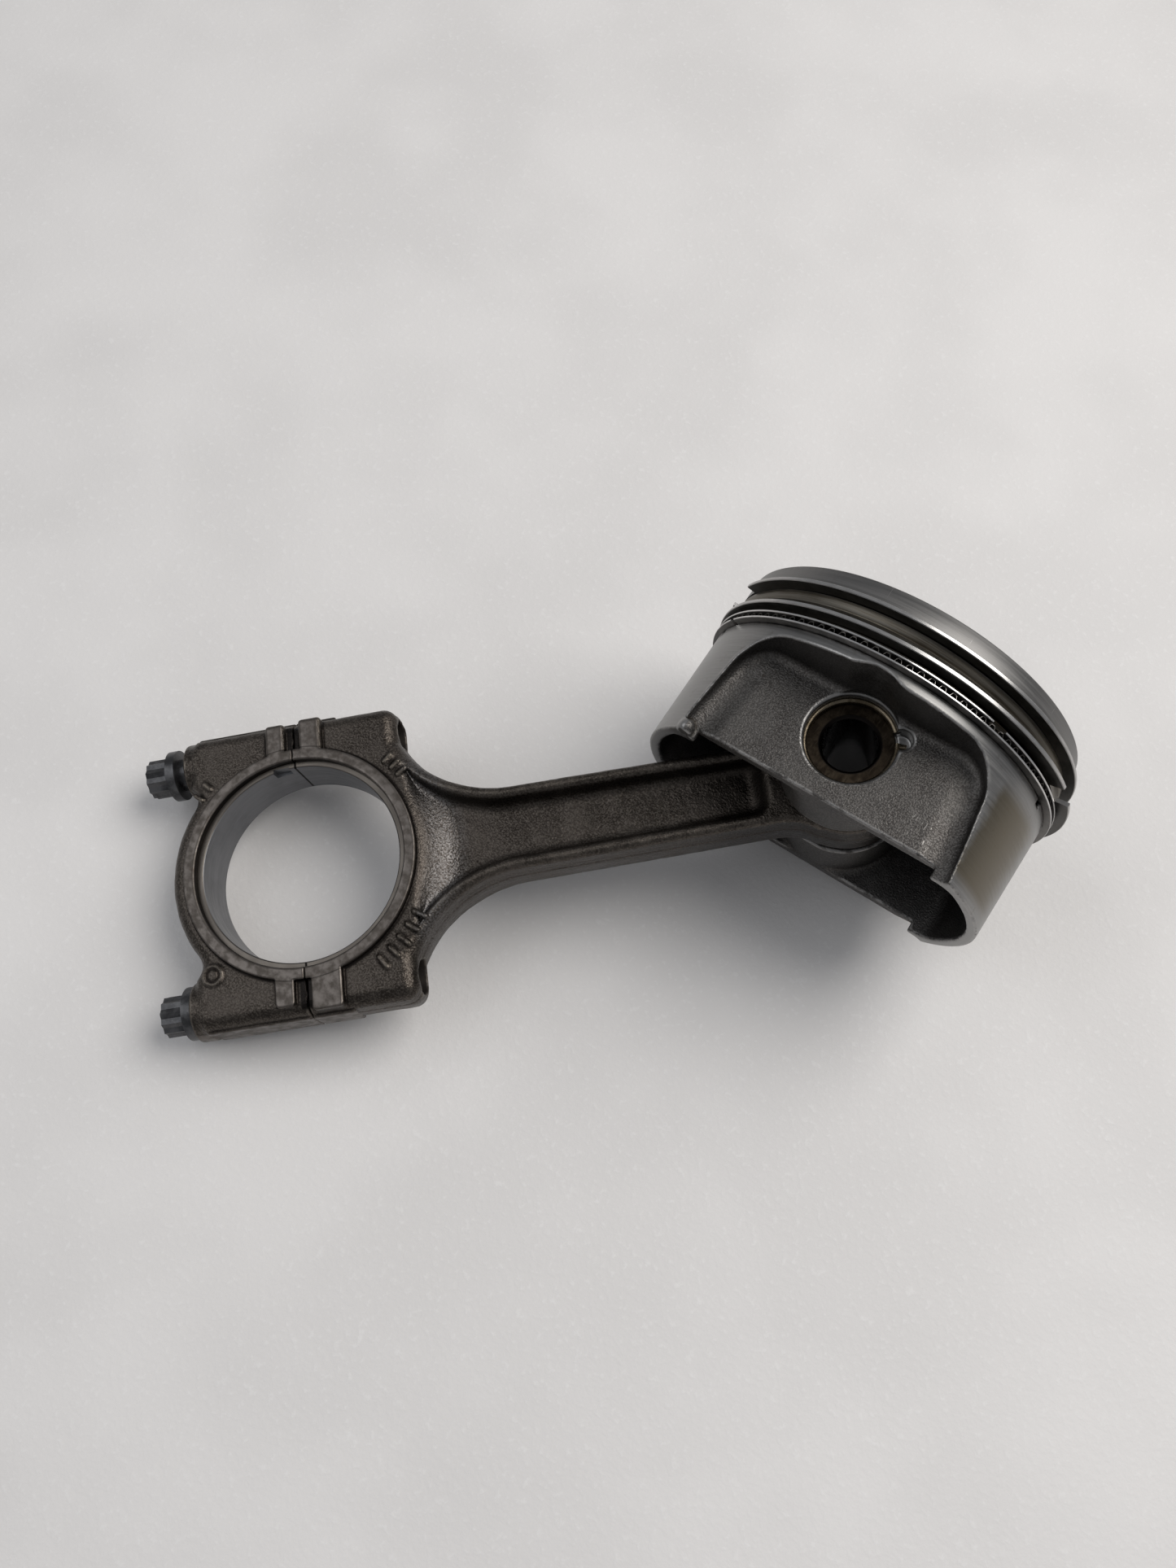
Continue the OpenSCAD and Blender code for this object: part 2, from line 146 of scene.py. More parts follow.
def polygon(u, v, points):
    """Signed distance to a closed outline, negative inside."""
    points = np.asarray(points, float)
    nearest = np.full(np.broadcast(u, v).shape, 1e9)
    inside = np.zeros(nearest.shape, bool)
    for (ax, ay), (bx, by) in zip(points, np.roll(points, -1, axis=0)):
        ex, ey = bx - ax, by - ay
        wx, wy = u - ax, v - ay
        t = np.clip((wx * ex + wy * ey) / (ex * ex + ey * ey + 1e-12), 0, 1)
        nearest = np.minimum(nearest, (wx - ex * t) ** 2 + (wy - ey * t) ** 2)
        if ey:
            inside ^= ((ay > v) != (by > v)) & (wx < ex * wy / ey)
    return np.where(inside, -1.0, 1.0) * np.sqrt(nearest)


def arc(centre, radius, start, end, steps=20):
    angles = np.radians(np.linspace(start, end, steps))
    return [(centre[0] + radius * math.cos(a), centre[1] + radius * math.sin(a)) for a in angles]


def mirrored(half):
    """A closed outline from its upper half."""
    return half + [(x, -y) for x, y in reversed(half)]


def capsule(x, y, z, a, b, radius):
    """A round-ended bar from a to b."""
    a, b = np.array(a, float), np.array(b, float)
    run = b - a
    t = np.clip(((x - a[0]) * run[0] + (y - a[1]) * run[1] + (z - a[2]) * run[2]) / (run @ run), 0, 1)
    return np.sqrt((x - a[0] - t * run[0]) ** 2 + (y - a[1] - t * run[1]) ** 2
                   + (z - a[2] - t * run[2]) ** 2) - radius


class Lattice:
    """Open grid of sample points that a distance field is worked out on."""

    def __init__(self, low, high, step=VOXEL):
        self.low, self.step = np.array(low, float), step
        counts = np.ceil((np.array(high) - self.low) / step).astype(int) + 1
        axes = [self.low[i] + step * np.arange(counts[i]) for i in range(3)]
        self.x = axes[0][:, None, None]
        self.y = axes[1][None, :, None]
        self.z = axes[2][None, None, :]
        self.counts = counts

    def sample(self, field, points):
        """Value of the field at points, by trilinear interpolation."""
        at = np.clip((points - self.low) / self.step, 0, self.counts - 1.001)
        cell = at.astype(int)
        part = at - cell
        total = 0
        for corner in np.ndindex(2, 2, 2):
            weight = np.prod(np.where(corner, part, 1 - part), axis=1)
            total = total + weight * field[tuple((cell + corner).T)]
        return total

    def gradient(self, field, points):
        reach = self.step
        steps = np.eye(3) * reach
        rise = [self.sample(field, points + s) - self.sample(field, points - s) for s in steps]
        slope = np.stack(rise, axis=1)
        return slope / np.maximum(np.linalg.norm(slope, axis=1, keepdims=True), 1e-9)

    def edge_measure(self, field, points, reach=0.9):
        """How far the surface turns away around each point: above 0 on an edge, below 0 in a corner."""
        total = 0
        for s in np.vstack([np.eye(3), -np.eye(3)]) * reach:
            total = total + self.sample(field, points + s)
        return total / 6 / reach


def uneven(points, wave, seed):
    """Smooth random value from -1 to 1, with features about wave across."""
    lattice = np.random.default_rng(seed).uniform(-1, 1, (32, 32, 32))
    at = points / wave
    cell = np.floor(at).astype(int)
    part = at - cell
    part = part * part * (3 - 2 * part)
    total = 0
    for corner in np.ndindex(2, 2, 2):
        weight = np.prod(np.where(corner, part, 1 - part), axis=1)
        total = total + weight * lattice[tuple(((cell + corner) % 32).T)]
    return total


def mesh_from_field(name, lattice, field, machined, place, skin):
    """Meshes where the field is 0, roughens the unmachined skin, and stores what the materials read."""
    limit = 3 * lattice.step
    grid = openvdb.FloatGrid(limit)
    grid.copyFromArray(np.clip(field, -limit, limit).astype(np.float32))
    points, triangles, quads = grid.convertToPolygons(isovalue=0.0, adaptivity=0.0)
    points = lattice.low + points.astype(float) * lattice.step
    for _ in range(2):
        points -= lattice.gradient(field, points) * lattice.sample(field, points)[:, None]
    finish = np.clip(machined(points), 0, 1)
    edge = lattice.edge_measure(field, points)
    lumps = skin * (0.6 * uneven(points, 2.6, 1) + 0.4 * uneven(points, 1.1, 2))
    points += lattice.gradient(field, points) * (lumps * (1 - finish))[:, None]
    mesh = bpy.data.meshes.new(name)
    faces = quads.tolist() + triangles.tolist()
    mesh.from_pydata((place(points) * MM).tolist(), [], faces)
    for label, values in (("machined", finish), ("edge", edge)):
        store = mesh.attributes.new(label, "FLOAT", "POINT")
        store.data.foreach_set("value", values.astype(np.float32))
    built = bmesh.new()
    built.from_mesh(mesh)
    if built.calc_volume(signed=True) < 0:
        bmesh.ops.reverse_faces(built, faces=built.faces)
    built.to_mesh(mesh)
    built.free()
    mesh.shade_smooth()
    piece = bpy.data.objects.new(name, mesh)
    bpy.context.scene.collection.objects.link(piece)
    return piece


def in_place(points):
    return points


def from_rod_frame(points):
    """Rod frame to the frame of the whole part."""
    plan = CRANK + points[:, :1] * ROD_X + points[:, 1:2] * ROD_Y
    return np.hstack([plan, points[:, 2:]])


# ---------------------------------------------------------------- connecting rod

def joint_crack(y, z):
    """The cap was cracked off the rod, so the joint wanders a little."""
    return 0.10 * np.sin(0.9 * y + 0.7 * z) + 0.06 * np.sin(2.3 * y - 1.9 * z)


def big_end_faces(f, pads, front_marks):
    """Half of the raised ring and pads beside the joint, and the plain marks on the forging."""
    height = np.abs(f.z) - RAISED
    raised = rounded(np.hypot(f.x, f.y) - ANNULUS_R, height, 0.15)
    for x0, x1, y0, y1, corner in pads:
        plan = rectangle(f.x, f.y, ((x0 + x1) / 2, (y0 + y1) / 2), ((x1 - x0) / 2, (y1 - y0) / 2), 1.0)
        raised = np.minimum(raised, rounded(plan, height, corner))
    marks = np.full(raised.shape, 9.0)
    for start, end, radius in front_marks:
        marks = np.minimum(marks, capsule(f.x, f.y, f.z, start, end, radius))
    return raised, marks


def bore_cut(f, body):
    """The big end's bore with its bevels, and the two bolt holes."""
    radius = np.hypot(f.x, f.y)
    bevel = np.clip(np.abs(f.z) - (RAISED - 0.35), 0, 0.35)
    body = np.maximum(body, HOUSING_R + bevel - radius)
    for side in (-1, 1):
        body = np.maximum(body, BOLT_HOLE_R - np.hypot(f.y - side * BOLT_Y, f.z))
    return body


def side_strip(f, x0, x1):
    """Machined flats along the outside of the bolt bosses."""
    flat = rectangle(f.x, f.z, ((x0 + x1) / 2, 0), ((x1 - x0) / 2, 4.5), 0.4)
    return rounded(flat, np.abs(f.y) - STRIP_HALF, 0.3)


def radial_bar(angle, radius, half, thick):
    """A short raised bar that points away from the crank pin."""
    c, s = math.cos(math.radians(angle)), math.sin(math.radians(angle))
    inner, outer = radius - half, radius + half
    return ((inner * c, inner * s, FORGED), (outer * c, outer * s, FORGED), thick)


def rod_outline():
    start = 180 + math.degrees(math.acos((NECK[0] - SHOULDER_X) / NECK_R))
    tangent = 360 + math.degrees(math.atan2(-FILLET[1], ROD_LENGTH - FILLET[0]))
    half = [(-6, 0), (-6, BOSS_HALF)]
    half += arc((SHOULDER_X - 3.5, BOSS_HALF - 3.5), 3.5, 90, 0, 8)
    half += arc(NECK, NECK_R, start, 270, 32)
    half += arc(FILLET, FILLET_R, 270, tangent)
    half += [(ROD_LENGTH, 0)]
    return mirrored(half)


def channel_outline():
    open_r = NECK_R + FLANGE
    start_x, end_x, corner_r, half_end = 27.0, 110.6, 4.0, 6.9
    half = [(start_x, 0)]
    half += arc(NECK, open_r, 180 + math.degrees(math.acos((NECK[0] - start_x) / open_r)), 270, 32)
    half += arc((end_x - corner_r, half_end - corner_r), corner_r, 90, 0, 8)
    half += [(end_x, 0)]
    return mirrored(half)


def rod_field(f):
    height = np.abs(f.z)
    plan = polygon(f.x[:, :, 0], f.y[:, :, 0], rod_outline())[:, :, None]
    small_end = np.hypot(f.x - ROD_LENGTH, f.y) - SMALL_END_R
    plan = smooth_min(plan, small_end, 1.0)
    flash = 0.16 * (smooth_step(height, 1.7, 1.5) + 0.5 * smooth_step(height, 3.3, 3.1))
    drafted = plan + (height - 4) * 0.03 - flash
    edge_r = 1.5 + 2.1 * smooth_step(f.x, 42, 26)
    body = rounded(drafted, height - FORGED, edge_r)
    hollow = polygon(f.x[:, :, 0], f.y[:, :, 0], channel_outline())[:, :, None]
    ramp = np.maximum(38.5 - np.hypot(f.x, f.y), 0) / 9.0
    run_out = np.maximum(f.x - 106.0, 0) / 4.5
    floor = WEB + 5.0 * ramp ** 1.8 + 3.0 * run_out ** 2
    channel = smooth_max(hollow + (FORGED - height) * 0.16, floor - height, 2.6)
    body = smooth_max(body, -channel, 1.5)
    pads = [(1.6, 7.3, 24, 36.0, 1.2), (1.5, 8.7, -35.8, -24, 0.3)]
    upper = [radial_bar(a, 31.9, 1.1, 0.62) for a in (35, 39.5, 44)]
    lower = [radial_bar(a, 32.6, 1.5, 0.62) for a in range(-56, -26, 6)]
    raised, marks = big_end_faces(f, pads, upper + lower)
    body = smooth_min(body, raised, 0.5)
    body = smooth_min(body, marks, 0.5)
    body = np.minimum(body, side_strip(f, -6, 10))
    body = np.maximum(body, JOINT_GAP + joint_crack(f.y, f.z) - f.x)
    body = bore_cut(f, body)
    return np.maximum(body, BUSH_R - np.hypot(f.x - ROD_LENGTH, f.y))


def within(value, tolerance):
    return (np.abs(value) < tolerance).astype(float)


def rod_machined(p):
    x, y, z = p.T
    radius = np.hypot(x, y)
    top = (np.abs(z) > RAISED - 0.22) * 1.0
    wall = ((radius < ANNULUS_R + 0.15) & (np.abs(z) > FORGED + 0.9)) * 1.0
    bore = (radius < HOUSING_R + 0.9) * 1.0
    joint = within(x, 0.25)
    strip = ((np.abs(y) > BOSS_HALF + 0.35) & (np.abs(z) < 4.7)) * 1.0
    holes = within(np.hypot(np.abs(y) - BOLT_Y, z) - BOLT_HOLE_R, 0.2)
    small = (np.hypot(x - ROD_LENGTH, y) < BUSH_R + 0.3) * 1.0
    return np.max([top, wall, bore, joint, strip, holes, small], axis=0)


def cap_field(f):
    height = np.abs(f.z)
    arch = np.hypot(f.x, f.y) - CAP_ARCH_R
    boss_half = [(6, 18), (6, BOSS_HALF), (-CAP_BOSS_X + 2, BOSS_HALF), (-CAP_BOSS_X, BOSS_HALF - 2),
                 (-CAP_BOSS_X, 24), (-CAP_BOSS_X + 3.5, 19)]
    boss = polygon(f.x[:, :, 0], np.abs(f.y[:, :, 0]), boss_half)[:, :, None]
    plan = smooth_min(arch, boss, 3.0) + (height - 4) * 0.03
    body = rounded(plan, height - FORGED, 3.2)
    pads = [(-6.8, -1.8, 24, 35.6, 1.2), (-7.0, -2.6, -34.2, -24, 0.3)]
    bars = [radial_bar(a, 31.8, 1.0, 0.6) for a in (134, 140)]
    raised, marks = big_end_faces(f, pads, bars)
    body = smooth_min(body, raised, 0.5)
    spot = np.hypot(f.x + 22.2, f.y + 23.8)
    disc = rounded(spot - 2.6, f.z - FORGED - 0.45, 0.3)
    dish = np.maximum(np.abs(spot - 1.5) - 0.3, FORGED + 0.2 - f.z)
    body = smooth_min(body, disc, 0.4)
    body = np.maximum(body, -dish)
    body = smooth_min(body, marks, 0.5)
    for side in (-1, 1):
        around = np.hypot(f.y - side * BOLT_Y, f.z) - 7.0
        middle, half = (SEAT_X + CAP_BOSS_X - 3) / 2, (SEAT_X - CAP_BOSS_X + 3) / 2
        collar = rounded(around, np.abs(f.x + middle) - half, 0.5)
        body = smooth_min(body, collar, 1.0)
    body = np.minimum(body, side_strip(f, -25, 6))
    body = np.maximum(body, f.x + JOINT_GAP - joint_crack(f.y, f.z))
    return bore_cut(f, body)


def cap_machined(p):
    x, y, _ = p.T
    seats = ((x < -SEAT_X + 0.3) & (np.abs(y) > BOLT_Y - 7.2)) * 1.0
    return np.maximum(rod_machined(p), seats)


# ---------------------------------------------------------------- piston

def recess_outline():
    corner = (RECESS_TOP_HALF, RECESS_TOP - RECESS_CORNER_R)
    half = [(RECESS_FOOT_HALF, -SKIRT_H - 20), (RECESS_FOOT_HALF, -SKIRT_H)]
    half += arc(corner, RECESS_CORNER_R, 8, 90)
    return half + [(-x, y) for x, y in reversed(half)]


def trough(f, side):
    """The round trough beside one end wall of the recess, which fades out towards the crown."""
    top = np.array([RECESS_TOP_HALF + RECESS_CORNER_R - 3.0, RECESS_TOP - RECESS_CORNER_R])
    foot = np.array([RECESS_FOOT_HALF - 3.0, -SKIRT_H - 3])
    run = top - foot
    t = np.clip(((side * f.x - foot[0]) * run[0] + (f.y - foot[1]) * run[1]) / (run @ run), 0, 1)
    depth = PANEL_Z + 1.6 + 1.5 * t
    return np.sqrt((side * f.x - foot[0] - t * run[0]) ** 2 + (f.y - foot[1] - t * run[1]) ** 2
                   + (np.abs(f.z) - depth) ** 2) - 3.0


def piston_field(f):
    height = np.abs(f.z)
    radius = np.hypot(f.x, f.z)
    body = rounded(radius - SKIRT_R, -SKIRT_H - f.y, 0.5)
    body = np.maximum(body, f.y - SPLIT_Y)
    above_groove = rounded(radius - OIL_ROOT_R, OIL_GROOVE_Y - f.y, 0.01)
    body = np.maximum(body, np.minimum(above_groove, np.maximum(radius - SKIRT_R, f.y - OIL_GROOVE_Y)))

    outline = polygon(f.x[:, :, 0], f.y[:, :, 0], recess_outline())[:, :, None]
    relief = np.hypot(f.x, f.y) - 10.5
    plan = smooth_min(outline, relief, 0.9)
    recess = smooth_max(plan, PANEL_Z - height, 2.4)
    for side in (-1, 1):
        recess = smooth_min(recess, trough(f, side), 2.2)
    body = smooth_max(body, -recess, 0.35)

    inner_r = SKIRT_INNER_R - (SKIRT_INNER_R - BELT_INNER_R) * smooth_step(f.y, 2.0, RECESS_TOP)
    cavity = smooth_max(radius - inner_r, height - PANEL_INNER_Z, 3.0)
    boss = rounded(np.hypot(f.x, f.y) - BOSS_R, 8.6 - height, 0.5)
    pillar = np.maximum(np.maximum(np.abs(f.x) - 10, 11.6 - height), -f.y)
    cavity = smooth_max(cavity, -smooth_min(boss, pillar, 2.0), 2.0)
    body = smooth_max(body, -cavity, 0.8)

    foot = np.maximum(np.abs(f.x) - 28.8, f.y + PANEL_H)
    body = smooth_max(body, -foot, 0.5)
    nub = np.sqrt((f.x + 31.0) ** 2 + (f.y + SKIRT_H - 1.2) ** 2 + (f.z - 27.6) ** 2) - 1.9
    body = smooth_min(body, np.maximum(nub, -SKIRT_H - 0.2 - f.y), 0.8)

    bore = np.hypot(f.x, f.y)
    bevel = np.clip(height - (PANEL_Z - 0.5), 0, 0.5)
    body = np.maximum(body, PIN_BORE_R + bevel - bore)
    groove = np.maximum(bore - CLIP_GROOVE_R, np.abs(height - CLIP_GROOVE_Z) - CLIP_GROOVE_HALF)
    notch = np.hypot(f.x - NOTCH[0], f.y - NOTCH[1]) - NOTCH_R
    notch = np.maximum(notch - np.clip(height - PANEL_Z + 0.45, 0, 0.45), 22.7 - height)
    body = np.maximum(body, -np.minimum(groove, notch))
    for angle in DRAIN_ANGLES:
        c, s = math.cos(math.radians(angle)), math.sin(math.radians(angle))
        across = np.abs(f.z * c - f.x * s) - 1.1
        slot = np.maximum(np.maximum(across, OIL_ROOT_R - (f.x * c + f.z * s)), 10.4 - f.y)
        body = np.maximum(body, -slot)
    return body


def piston_machined(p):
    x, y, z = p.T
    radius = np.hypot(x, z)
    skirt = (radius > SKIRT_R - 0.15) * 1.0
    groove = ((y > OIL_GROOVE_Y - 0.2) & (radius > OIL_ROOT_R - 0.3)) * 1.0
    below_panel = (np.abs(z) > 8.0) * (np.abs(z) < PANEL_Z + 0.1)
    bore = (np.hypot(x, y) < PIN_BORE_R + 0.7) * below_panel
    from_notch = np.hypot(x - NOTCH[0], y - NOTCH[1])
    notch = (from_notch < NOTCH_R + 0.6) * (np.abs(z) > 20) * below_panel
    rim = (y < -SKIRT_H + 0.15) * 1.0
    return np.max([skirt, groove, bore * 1.0, notch * 1.0, rim], axis=0)


def piston_head():
    """The CAD piston above the split: turned lands, grooves and crown, exactly as designed."""
    mesh = frame["nodes"]["piston"].data.copy()
    mesh.name = "piston_head"
    built = bmesh.new()
    built.from_mesh(mesh)
    bmesh.ops.remove_doubles(built, verts=built.verts, dist=1e-7)
    everything = built.verts[:] + built.edges[:] + built.faces[:]
    cut = bmesh.ops.bisect_plane(built, geom=everything, plane_co=(0, SPLIT_Y * MM, 0),
                                 plane_no=(0, 1, 0), clear_inner=True)
    rim = [e for e in cut["geom_cut"] if isinstance(e, bmesh.types.BMEdge)]
    bmesh.ops.triangle_fill(built, use_beauty=True, edges=rim, normal=(0, -1, 0))
    bmesh.ops.recalc_face_normals(built, faces=built.faces)
    built.to_mesh(mesh)
    built.free()
    piece = bpy.data.objects.new("piston_head", mesh)
    bpy.context.scene.collection.objects.link(piece)
    return piece


# ---------------------------------------------------------------- oil ring expander

def expander():
    """Steel strip folded into a wave between the rails, split where its ends meet."""
    low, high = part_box("oil_ring_expander")
    centre = (low + high) / 2 / MM
    outer, inner = 43.35, 41.75
    waves, steps = 104, 16
    thick = 0.16
    bottom, top = low.y / MM, high.y / MM
    mid, swing = (bottom + top) / 2, (top - bottom) / 2 - thick / 2
    built = bmesh.new()
    rows = []
    count = waves * steps
    for i in range(count + 1):
        angle = math.radians(271.0 + 358.0 * i / count)
        phase = 2 * math.pi * i / steps
        square = math.tanh(2.6 * math.sin(phase)) / math.tanh(2.6)
        middle = mid + swing * square
        corners = []
        for r, y in ((inner, -1), (outer, -1), (outer, 1), (inner, 1)):
            corners.append(built.verts.new(Vector((
                centre.x + r * math.cos(angle), middle + y * thick / 2,
                centre.z + r * math.sin(angle))) * MM))
        rows.append(corners)
    for a, b in zip(rows, rows[1:]):
        for j in range(4):
            k = (j + 1) % 4
            built.faces.new((a[j], a[k], b[k], b[j]))
    built.faces.new(rows[0])
    built.faces.new(list(reversed(rows[-1])))
    bmesh.ops.recalc_face_normals(built, faces=built.faces)
    mesh = bpy.data.meshes.new("expander_strip")
    built.to_mesh(mesh)
    built.free()
    piece = bpy.data.objects.new("expander_strip", mesh)
    bpy.context.scene.collection.objects.link(piece)
    return piece


# ---------------------------------------------------------------- materials

class Shader:
    """A node material, built one socket at a time."""

    def __init__(self, name):
        self.material = bpy.data.materials.new(name)
        self.material.use_nodes = True
        self.tree = self.material.node_tree
        self.tree.nodes.clear()
        self.place = self.node("ShaderNodeTexCoord").outputs["Object"]

    def node(self, kind, inputs=None, **settings):
        made = self.tree.nodes.new(kind)
        for key, value in settings.items():
            setattr(made, key, value)
        for key, value in (inputs or {}).items():
            self.put(made.inputs[key], value)
        return made

    def put(self, socket, value):
        if isinstance(value, bpy.types.NodeSocket):
            self.tree.links.new(value, socket)
        elif isinstance(value, tuple) and len(value) == 3 and socket.type == "RGBA":
            socket.default_value = (*value, 1.0)
        else:
            socket.default_value = value

    def noise(self, size, detail=3.0, rough=0.6, vector=None, twist=0.0):
        """Noise with features of about size millimetres."""
        made = self.node("ShaderNodeTexNoise", {"Scale": 1.0 / (size * MM), "Detail": detail,
                         "Roughness": rough, "Distortion": twist, "Vector": vector or self.place})
        return made.outputs["Fac"]

    def cells(self, size, feature="F1"):
        made = self.node("ShaderNodeTexVoronoi", {"Scale": 1.0 / (size * MM), "Vector": self.place},
                         feature=feature)
        return made.outputs["Distance"]

    def stretched(self, scale):
        """Coordinates scaled per axis, so that noise on them runs in streaks."""
        return self.node("ShaderNodeMapping", {"Vector": self.place, "Scale": scale}).outputs[0]

    def math(self, operation, a, b=0.0, clamp=False):
        made = self.node("ShaderNodeMath", operation=operation, use_clamp=clamp)
        self.put(made.inputs[0], a)
        self.put(made.inputs[1], b)
        return made.outputs[0]

    def span(self, value, low, high, to_low=0.0, to_high=1.0, smooth=True):
        """Maps low..high to to_low..to_high, and clamps."""
        made = self.node("ShaderNodeMapRange", clamp=True,
                         interpolation_type="SMOOTHSTEP" if smooth else "LINEAR")
        for key, item in (("Value", value), ("From Min", low), ("From Max", high),
                          ("To Min", to_low), ("To Max", to_high)):
            self.put(made.inputs[key], item)
        return made.outputs["Result"]

    def mix(self, factor, a, b):
        made = self.node("ShaderNodeMix", data_type="RGBA")
        self.put(made.inputs[0], factor)
        self.put(made.inputs[6], a)
        self.put(made.inputs[7], b)
        return made.outputs[2]

    def blend(self, factor, a, b):
        """Mixes two numbers."""
        made = self.node("ShaderNodeMix", data_type="FLOAT")
        self.put(made.inputs[0], factor)
        self.put(made.inputs[2], a)
        self.put(made.inputs[3], b)
        return made.outputs[0]

    def stored(self, name):
        return self.node("ShaderNodeAttribute", attribute_name=name).outputs["Fac"]

    def bump(self, height, depth, normal=None):
        """Bump of about depth millimetres."""
        inputs = {"Height": height, "Distance": depth * MM, "Strength": 1.0}
        if normal is not None:
            inputs["Normal"] = normal
        return self.node("ShaderNodeBump", inputs).outputs["Normal"]

    def axes(self):
        return self.node("ShaderNodeSeparateXYZ", {"Vector": self.place}).outputs

    def from_crank_pin(self):
        """Distance along the rod from the crank pin's axis, and distance from that axis."""
        x, y, _ = self.axes()
        dx, dy = self.math("SUBTRACT", x, CRANK[0] * MM), self.math("SUBTRACT", y, CRANK[1] * MM)
        along = self.math("ADD", self.math("MULTIPLY", dx, ROD_X[0]), self.math("MULTIPLY", dy, ROD_X[1]))
        square = self.math("ADD", self.math("MULTIPLY", dx, dx), self.math("MULTIPLY", dy, dy))
        return along, self.math("SQRT", square)

    def finish(self, colour, roughness, metallic, normal=None):
        surface = self.node("ShaderNodeBsdfPrincipled", {"Base Color": colour, "Roughness": roughness,
                            "Metallic": metallic})
        if normal is not None:
            self.put(surface.inputs["Normal"], normal)
        output = self.node("ShaderNodeOutputMaterial")
        self.tree.links.new(surface.outputs[0], output.inputs["Surface"])
        return self.material


def forged_steel():
    """Oily forged skin and bare machined faces, with marks that are partly oil and partly painted shade in
    the corners, in the channel's far end and in the slots beside the machined faces, and a painted sheen
    on the ramp by the big end.
    """
    s = Shader("forged_steel_oily")
    machined, edge = s.stored("machined"), s.stored("edge")
    along, from_crank = s.from_crank_pin()
    height = s.math("ABSOLUTE", s.axes()["Z"])
    grain = s.noise(0.42, 2.0, 0.55)
    pits = s.cells(0.8)
    blotch = s.noise(9.0, 4.0, 0.62)
    fine_blotch = s.noise(2.2, 3.0, 0.6)
    skin = s.mix(s.span(blotch, 0.38, 0.62), (0.027, 0.022, 0.018), (0.050, 0.042, 0.036))
    skin = s.mix(s.span(grain, 0.36, 0.70, 0, 0.5), skin, (0.145, 0.126, 0.108))
    # Dirt and painted shade: the skin is darkened in concave corners, where the edge measure falls below
    # 0.
    corner_dirt_and_shade = s.span(edge, -0.02, -0.16)
    skin = s.mix(corner_dirt_and_shade, skin, (0.014, 0.011, 0.009))
    worn = s.math("MULTIPLY", s.span(edge, 0.06, 0.20), s.span(fine_blotch, 0.35, 0.6))
    skin = s.mix(s.math("MULTIPLY", worn, 0.5), skin, (0.20, 0.175, 0.145))
    turned = s.noise(0.35, 2.0, 0.5)
    bare = s.mix(s.span(fine_blotch, 0.36, 0.66), (0.128, 0.113, 0.102), (0.080, 0.069, 0.060))
    bare = s.mix(s.span(s.noise(5.0, 5.0, 0.7, twist=0.6), 0.60, 0.68, 0, 0.75), bare, (0.075, 0.06, 0.05))
    # Oil and painted shade: the channel is darkened towards the small end.
    channel_oil_and_shade = s.math("MULTIPLY", s.span(along, 0.088, 0.106), s.span(height, 0.0062, 0.0045))
    skin = s.mix(s.math("MULTIPLY", channel_oil_and_shade, 0.6), skin, (0.014, 0.011, 0.009))
    # Painted sheen: a lighter grey band on the ramp beside the raised ring, standing in for the highlight
    # there, broken up by the grain.
    rubbed = s.math("MULTIPLY", s.span(from_crank, 0.0290, 0.0325), s.span(from_crank, 0.041, 0.035))
    rubbed = s.math("MULTIPLY", rubbed, s.span(along, 0.025, 0.029))
    rubbed = s.math("MULTIPLY", rubbed, s.span(grain, 0.34, 0.66, 0.05, 0.7))
    skin = s.mix(rubbed, skin, (0.15, 0.145, 0.145))
    colour = s.mix(machined, skin, bare)
    # Near-black marks on the bore's bevel, around the raised ring and in the slot between the pads: partly
    # oil, partly painted shade in these narrow places.
    bore_wall = s.math("MULTIPLY", s.span(from_crank, (HOUSING_R + 0.4) * MM, (HOUSING_R + 0.15) * MM),
                       s.span(height, (RAISED - 0.25) * MM, (RAISED - 0.5) * MM))
    slot = s.math("MULTIPLY", s.span(from_crank, (ANNULUS_R + 0.1) * MM, (ANNULUS_R + 0.25) * MM),
                  s.span(from_crank, (ANNULUS_R + 0.55) * MM, (ANNULUS_R + 0.4) * MM))
    slot = s.math("MULTIPLY", slot, 0.55)
    between = s.math("MULTIPLY", s.span(s.math("ABSOLUTE", along), 0.0018, 0.0014),
                     s.span(height, (RAISED - 0.25) * MM, (RAISED - 0.6) * MM))
    between = s.math("MULTIPLY", between, s.span(height, 0.0062, 0.0068))
    dark = s.math("MAXIMUM", s.math("MAXIMUM", bore_wall, slot), between)
    colour = s.mix(dark, colour, (0.012, 0.010, 0.009))
    rough_skin = s.blend(corner_dirt_and_shade, s.span(blotch, 0.3, 0.7, 0.30, 0.44), 0.32)
    rough = s.blend(machined, rough_skin, s.span(fine_blotch, 0.3, 0.7, 0.34, 0.50))
    deep = s.math("MULTIPLY", grain, s.blend(machined, 1.0, 0.06))
    normal = s.bump(deep, 0.11)
    normal = s.bump(s.math("MULTIPLY", pits, s.blend(machined, 1.0, 0.02)), 0.05, normal)
    normal = s.bump(s.math("MULTIPLY", turned, machined), 0.006, normal)
    return s.finish(colour, rough, 0.9, normal)


